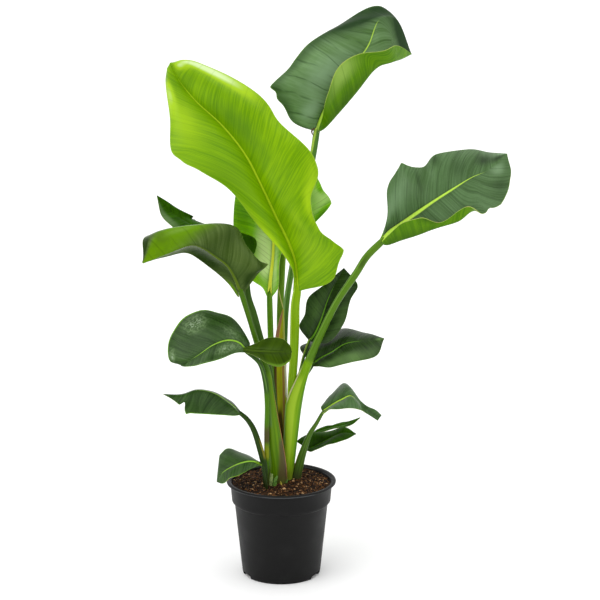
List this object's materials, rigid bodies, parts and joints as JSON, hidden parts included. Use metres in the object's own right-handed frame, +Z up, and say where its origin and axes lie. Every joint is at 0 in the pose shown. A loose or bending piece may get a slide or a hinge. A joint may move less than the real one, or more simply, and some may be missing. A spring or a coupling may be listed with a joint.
{
  "type": "potted bird of paradise plant",
  "caption": "Bird of paradise house plant with broad paddle-shaped leaves on long upright stalks, the young front leaf lime green, in a round nursery pot filled with soil.",
  "frame": {"origin": "centre of the pot's flat underside, on the surface that it stands on", "axes": "+Z straight up, -Y towards the front of the plant, +X towards the long arching stalk on the right"},
  "size_m": [0.6727, 0.3101, 1.07],
  "materials": {
    "lime_leaf": "satin young leaf with fine parallel veins",
    "dark_leaf": "waxy grey-green upper side, brighter green underside",
    "lime_stalk": "smooth fleshy stalk",
    "green_stalk": "smooth fleshy stalk, pinkish brown at its margins",
    "dry_sheath": "withering papery sheath",
    "potting_mix": "coarse crumbly bark and peat",
    "pot_plastic": "moulded charcoal black, slightly satin"
  },
  "bodies": {
    "root": {"stalk_mid_left": "green_stalk", "blade_mid_left": "dark_leaf", "stalk_lowest_left": "green_stalk", "blade_lowest_left": "dark_leaf", "stalk_low_left": "green_stalk", "blade_low_left": "dark_leaf", "stalk_low_right": "green_stalk", "blade_low_right": "dark_leaf", "stalk_left": "green_stalk", "blade_left": "dark_leaf", "stalk_tall": "lime_stalk", "blade_tall": "lime_leaf", "stalk_right": "green_stalk", "blade_right": "dark_leaf", "stalk_left_rear": "green_stalk", "blade_left_rear": "dark_leaf", "stalk_mid_right": "green_stalk", "blade_mid_right": "dark_leaf", "stalk_mid_rear": "green_stalk", "blade_mid_rear": "dark_leaf", "stalk_lower_right": "green_stalk", "blade_lower_right": "dark_leaf", "stalk_narrow_right": "green_stalk", "blade_narrow_right": "dark_leaf", "stalk_centre": "green_stalk", "blade_centre": "dark_leaf", "stalk_rear": "green_stalk", "blade_rear": "dark_leaf", "stalk_top": "green_stalk", "blade_top": "dark_leaf", "sheath_centre": "dry_sheath", "soil": "potting_mix", "pot": "pot_plastic"}
  },
  "joints": []
}
